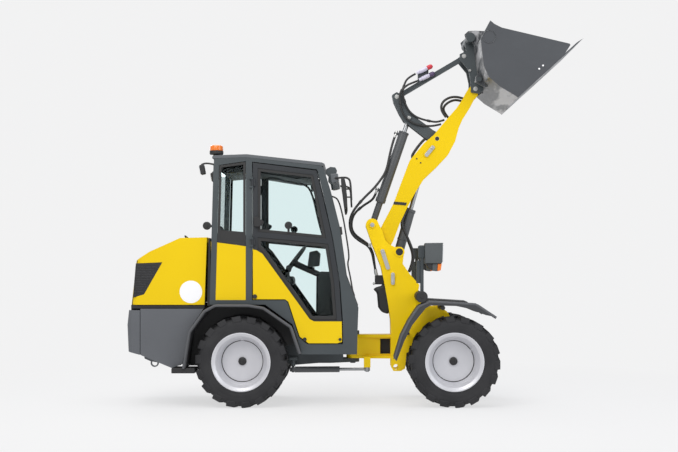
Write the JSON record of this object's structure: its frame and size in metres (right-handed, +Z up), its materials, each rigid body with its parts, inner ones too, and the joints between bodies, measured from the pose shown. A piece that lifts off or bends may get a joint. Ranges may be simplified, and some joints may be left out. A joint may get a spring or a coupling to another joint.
{
  "type": "compact articulated wheel loader",
  "caption": "Compact wheel loader with a closed cab, a hinged frame, one central boom and a bucket on a quick hitch, shown with the boom raised.",
  "frame": {"origin": "on the ground, on the centreline, under the articulation pin", "axes": "+X forward, +Y to the machine's left, +Z up"},
  "size_m": [4.038, 1.18, 3.412],
  "materials": {
    "tyre": "moulded rubber",
    "rim_silver": "silver lacquer",
    "paint_yellow": "gloss powder coat",
    "hood_yellow": "gloss paint on moulded plastic",
    "paint_grey": "satin powder coat",
    "cast_grey": "painted casting",
    "axle_black": "painted casting",
    "black_plastic": "grained moulding",
    "fender_black": "grained moulding",
    "seat_cover": "vinyl",
    "glass": "pale green tint",
    "pin_steel": "zinc plated",
    "rod_chrome": "hard chrome"
  },
  "bodies": {
    "rear_frame": {"rear_chassis": "paint_grey", "rear_axle": "axle_black", "counterweight": "cast_grey", "engine_block": "axle_black", "rear_fenders": "fender_black", "cab_frame": "paint_grey", "cab_roof": "paint_grey", "cab_floor": "black_plastic", "cab_front_panel": "paint_grey", "cab_panels": "paint_yellow", "cab_glass": "glass", "seat": "seat_cover", "steering_console": "black_plastic", "cab_fittings": "black_plastic"},
    "hood": {"hood": "hood_yellow", "hood_grilles": "black_plastic"},
    "door_right": {"door_frame_right": "paint_grey", "door_panel_right": "paint_yellow", "door_glass_right": "glass"},
    "door_left": {"door_frame_left": "paint_grey", "door_panel_left": "paint_yellow", "door_glass_left": "glass"},
    "front_frame": {"front_plates": "paint_yellow", "front_yoke": "paint_yellow", "front_braces": "paint_yellow", "front_axle": "axle_black", "front_fenders": "fender_black", "head_lamps": "black_plastic"},
    "boom": {"boom": "paint_yellow"},
    "hitch_pin": {"hitch_pin": "pin_steel"},
    "bucket": {"quick_hitch": "paint_grey", "bucket": "paint_grey"},
    "lever_pin": {"lever_pin": "pin_steel"},
    "lever": {"lever": "paint_grey"},
    "link_pin": {"link_pin": "pin_steel"},
    "tilt_link": {"tilt_link": "paint_grey"},
    "tilt_pin": {"tilt_pin": "pin_steel"},
    "tilt_barrel": {"tilt_barrel": "paint_grey"},
    "tilt_rod": {"tilt_rod": "rod_chrome"},
    "lift_barrel": {"lift_barrel": "paint_grey"},
    "lift_rod": {"lift_rod": "rod_chrome"},
    "steer_barrel": {"steer_barrel": "paint_grey"},
    "steer_rod": {"steer_rod": "rod_chrome"},
    "wheel_rear_right": {"tyre_rear_right": "tyre", "rim_rear_right": "rim_silver"},
    "wheel_rear_left": {"tyre_rear_left": "tyre", "rim_rear_left": "rim_silver"},
    "wheel_front_right": {"tyre_front_right": "tyre", "rim_front_right": "rim_silver"},
    "wheel_front_left": {"tyre_front_left": "tyre", "rim_front_left": "rim_silver"}
  },
  "joints": [
    {"name": "wheel_rear_right_roll", "type": "hinge", "parent": "rear_frame", "child": "wheel_rear_right", "pos_m": [-0.986, -0.4075, 0.404], "axis": [0, 1, 0], "continuous": true},
    {"name": "wheel_rear_left_roll", "type": "hinge", "parent": "rear_frame", "child": "wheel_rear_left", "pos_m": [-0.986, 0.4075, 0.404], "axis": [0, 1, 0], "continuous": true},
    {"name": "wheel_front_right_roll", "type": "hinge", "parent": "front_frame", "child": "wheel_front_right", "pos_m": [0.898, -0.4075, 0.404], "axis": [0, 1, 0], "continuous": true},
    {"name": "wheel_front_left_roll", "type": "hinge", "parent": "front_frame", "child": "wheel_front_left", "pos_m": [0.898, 0.4075, 0.404], "axis": [0, 1, 0], "continuous": true},
    {"name": "articulation", "type": "hinge", "parent": "rear_frame", "child": "front_frame", "pos_m": [0, 0, 0.5], "axis": [0, 0, 1], "range_deg": [-40, 40]},
    {"name": "hood_lift", "type": "hinge", "parent": "rear_frame", "child": "hood", "pos_m": [-1.292, 0, 1.48], "axis": [0, 1, 0], "range_deg": [0, 60]},
    {"name": "door_right_swing", "type": "hinge", "parent": "rear_frame", "child": "door_right", "pos_m": [-0.889, -0.495, 1.5], "axis": [0, 0, -1], "range_deg": [0, 100]},
    {"name": "door_left_swing", "type": "hinge", "parent": "rear_frame", "child": "door_left", "pos_m": [-0.889, 0.495, 1.5], "axis": [0, 0, 1], "range_deg": [0, 100]},
    {"name": "boom_lift", "type": "hinge", "parent": "front_frame", "child": "boom", "pos_m": [0.269, 0, 1.399], "axis": [0, -1, 0], "range_deg": [-103, 0]},
    {"name": "bucket_level", "type": "hinge", "parent": "boom", "child": "hitch_pin", "pos_m": [1.1267, 0, 2.8817], "axis": [0, -1, 0], "range_deg": [-0.5, 103.5]},
    {"name": "bucket_tilt", "type": "hinge", "parent": "hitch_pin", "child": "bucket", "pos_m": [1.1267, 0, 2.8817], "axis": [0, 1, 0], "range_deg": [0, 80]},
    {"name": "lever_level", "type": "hinge", "parent": "boom", "child": "lever_pin", "pos_m": [0.776, 0, 2.427], "axis": [0, -1, 0], "range_deg": [-0.5, 62.3]},
    {"name": "lever_swing", "type": "hinge", "parent": "lever_pin", "child": "lever", "pos_m": [0.776, 0, 2.427], "axis": [0, -1, 0], "range_deg": [-36.9, 0.5]},
    {"name": "link_level", "type": "hinge", "parent": "lever", "child": "link_pin", "pos_m": [0.4066, 0, 2.818], "axis": [0, -1, 0], "range_deg": [-55.09, 0.5]},
    {"name": "link_swing", "type": "hinge", "parent": "link_pin", "child": "tilt_link", "pos_m": [0.4066, 0, 2.818], "axis": [0, -1, 0], "range_deg": [-0.5, 14.5]},
    {"name": "tilt_pin_turn", "type": "hinge", "parent": "front_frame", "child": "tilt_pin", "pos_m": [0.178, 0, 1.6315], "axis": [0, -1, 0], "range_deg": [-106.59, 0.5]},
    {"name": "tilt_barrel_swing", "type": "hinge", "parent": "tilt_pin", "child": "tilt_barrel", "pos_m": [0.178, 0, 1.6315], "axis": [0, -1, 0], "range_deg": [-5.46, 0.5]},
    {"name": "tilt_rod_slide", "type": "slide", "parent": "tilt_barrel", "child": "tilt_rod", "axis": [0.3248, 0, 0.9458], "range_m": [-0.001, 0.1658]},
    {"name": "lift_barrel_swing", "type": "hinge", "parent": "front_frame", "child": "lift_barrel", "pos_m": [0.366, 0, 1.172], "axis": [0, -1, 0], "range_deg": [-99.38, 0.5]},
    {"name": "lift_rod_slide", "type": "slide", "parent": "lift_barrel", "child": "lift_rod", "axis": [0.2716, 0, 0.9624], "range_m": [-0.4289, 0.001]},
    {"name": "steer_barrel_swing", "type": "hinge", "parent": "rear_frame", "child": "steer_barrel", "pos_m": [-0.54, -0.262, 0.318], "axis": [0, 0, 1], "range_deg": [-6.34, 6.34]},
    {"name": "steer_rod_slide", "type": "slide", "parent": "steer_barrel", "child": "steer_rod", "axis": [0.9975, 0.07, 0], "range_m": [-0.1441, 0.1441]}
  ],
  "couplings": [
    {"joint": "bucket_level", "follows": "boom_lift", "ratio": -1},
    {"joint": "lever_level", "follows": "boom_lift", "ratio": -0.6},
    {"joint": "lever_swing", "follows": "bucket_tilt", "ratio": -0.455},
    {"joint": "link_level", "follows": "boom_lift", "ratio": 0.53},
    {"joint": "link_swing", "follows": "bucket_tilt", "ratio": 0.175},
    {"joint": "tilt_pin_turn", "follows": "boom_lift", "ratio": 1.03},
    {"joint": "tilt_barrel_swing", "follows": "bucket_tilt", "ratio": -0.062},
    {"joint": "tilt_rod_slide", "follows": "bucket_tilt", "m_per_rad": 0.118},
    {"joint": "lift_barrel_swing", "follows": "boom_lift", "ratio": 0.96},
    {"joint": "lift_rod_slide", "follows": "boom_lift", "m_per_rad": 0.238},
    {"joint": "steer_barrel_swing", "follows": "articulation", "ratio": 0.146},
    {"joint": "steer_rod_slide", "follows": "articulation", "m_per_rad": 0.205}
  ]
}
